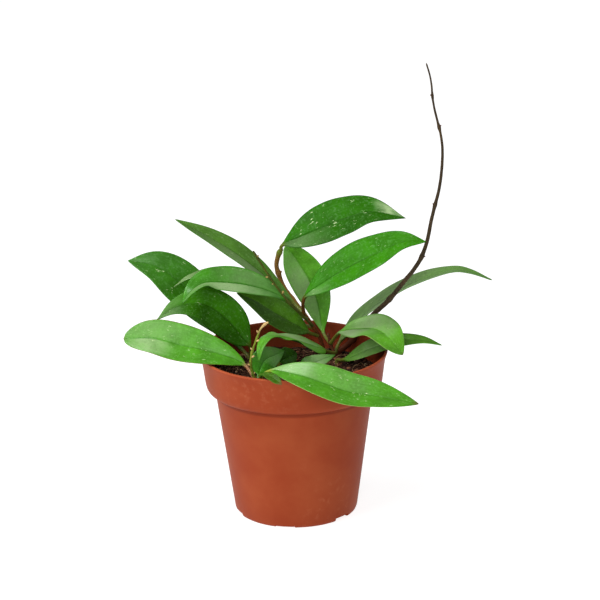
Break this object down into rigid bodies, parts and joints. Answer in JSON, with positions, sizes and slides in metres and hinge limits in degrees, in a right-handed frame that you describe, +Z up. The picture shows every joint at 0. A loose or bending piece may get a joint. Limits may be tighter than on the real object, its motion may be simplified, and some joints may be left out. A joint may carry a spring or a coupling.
{
  "type": "potted hoya plant",
  "caption": "Young hoya plant: long pointed waxy leaves on short stems and one tall bare vine, in dark potting mix in a plain tapered plastic pot with a rim band.",
  "frame": {"origin": "centre of the pot's base, on the surface it stands on", "axes": "+Z up, -Y towards the viewer of the picture (the plant's front), +X to the viewer's right"},
  "size_m": [0.2113, 0.1227, 0.2621],
  "materials": {
    "terracotta_plastic": "satin",
    "potting_mix": "matte",
    "waxy_leaf": "satin",
    "brown_stem": "matte",
    "green_stem": "matte",
    "tan_twig": "matte"
  },
  "bodies": {
    "root": {"arched_leaf": "waxy_leaf", "dark_stem": "brown_stem", "far_left_leaf": "waxy_leaf", "folded_leaf": "waxy_leaf", "front_left_leaf": "waxy_leaf", "front_right_leaf": "waxy_leaf", "front_twig": "tan_twig", "hidden_twin_leaf": "waxy_leaf", "left_droop_leaf": "waxy_leaf", "left_stem": "brown_stem", "long_right_leaf": "waxy_leaf", "long_upper_left_leaf": "waxy_leaf", "low_right_leaf": "waxy_leaf", "old_twig": "brown_stem", "pot": "terracotta_plastic", "right_droop_leaf": "waxy_leaf", "rim_leaf": "waxy_leaf", "shaded_leaf": "waxy_leaf", "small_centre_leaf": "waxy_leaf", "small_front_leaf": "waxy_leaf", "soil": "potting_mix", "top_leaf": "waxy_leaf", "under_leaf": "waxy_leaf", "upper_right_leaf": "waxy_leaf", "upper_shoot": "green_stem", "upright_leaf": "waxy_leaf", "vine": "brown_stem", "whip": "brown_stem"}
  },
  "joints": []
}
